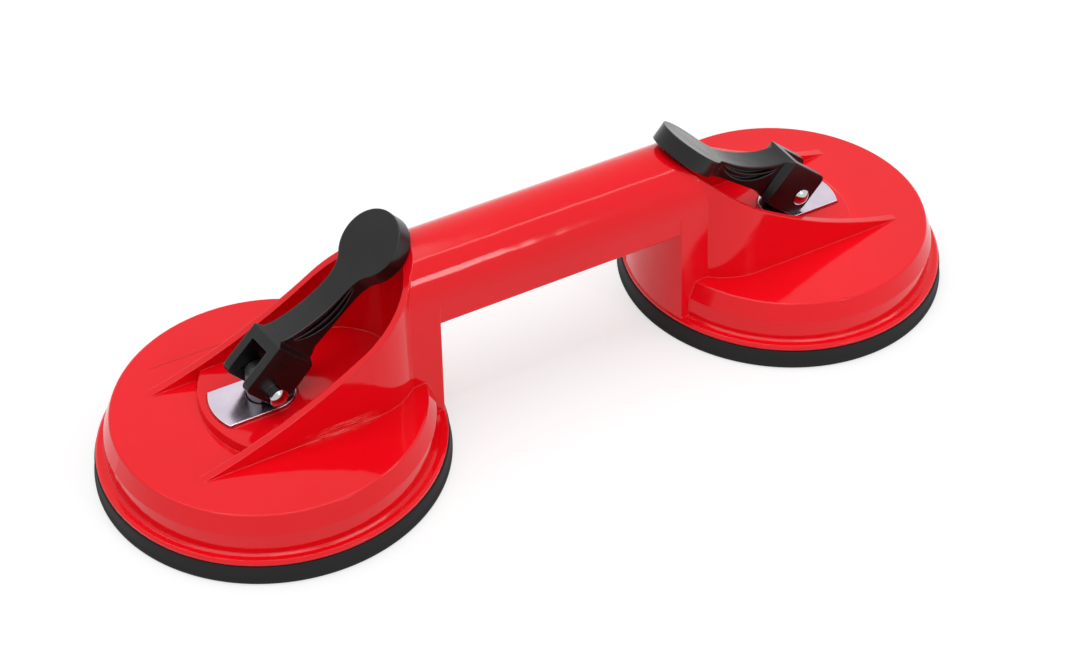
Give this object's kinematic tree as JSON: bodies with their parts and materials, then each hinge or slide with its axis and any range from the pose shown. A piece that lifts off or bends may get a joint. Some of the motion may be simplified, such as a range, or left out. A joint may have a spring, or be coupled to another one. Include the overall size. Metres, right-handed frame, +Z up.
{
  "type": "suction lifter",
  "caption": "Hand lifter for tiles and glass: a red moulding joins round suction cups under a bar handle; folding cam levers raise studs in the rubber cups to make the vacuum.",
  "frame": {"origin": "on the floor under the middle of the part, midway between the two cups", "axes": "+X along the handle to the right-hand cup, +Y to the far side, +Z up from the floor"},
  "size_m": [0.32, 0.118, 0.0763],
  "materials": {
    "red_body": "glossy injection moulding",
    "cup_rubber": "smooth matt moulded rubber",
    "zinc_plate": "zinc plated, passivated",
    "insert_steel": "plain sheet",
    "stud_steel": "turned and milled",
    "pin_steel": "bright rivet",
    "lever_black": "glossy black moulding"
  },
  "bodies": {
    "body": {"body_moulding": "red_body", "suction_cup_left": "cup_rubber", "suction_cup_right": "cup_rubber", "wear_plate_left": "zinc_plate", "wear_plate_right": "zinc_plate"},
    "stud_left": {"pull_stud_left": "stud_steel", "insert_disc_left": "insert_steel", "hinge_pin_left": "pin_steel"},
    "stud_right": {"pull_stud_right": "stud_steel", "insert_disc_right": "insert_steel", "hinge_pin_right": "pin_steel"},
    "lever_left": {"lever_left": "lever_black"},
    "lever_right": {"lever_right": "lever_black"}
  },
  "joints": [
    {"name": "stud_slide_left", "type": "slide", "parent": "body", "child": "stud_left", "axis": [0, 0, 1], "range_m": [-0.00187, 0], "deforming": ["suction_cup_left"]},
    {"name": "lever_hinge_left", "type": "hinge", "parent": "stud_left", "child": "lever_left", "pos_m": [-0.103, 0, 0.0335], "axis": [0.1219, -0.9925, 0], "range_deg": [0, 50]},
    {"name": "stud_slide_right", "type": "slide", "parent": "body", "child": "stud_right", "axis": [0, 0, 1], "range_m": [-0.00187, 0], "deforming": ["suction_cup_right"]},
    {"name": "lever_hinge_right", "type": "hinge", "parent": "stud_right", "child": "lever_right", "pos_m": [0.103, 0, 0.0335], "axis": [0, 1, 0], "range_deg": [0, 50]}
  ],
  "couplings": [
    {"joint": "stud_slide_left", "follows": "lever_hinge_left", "m_per_rad": -0.002108},
    {"joint": "stud_slide_right", "follows": "lever_hinge_right", "m_per_rad": -0.002108}
  ]
}
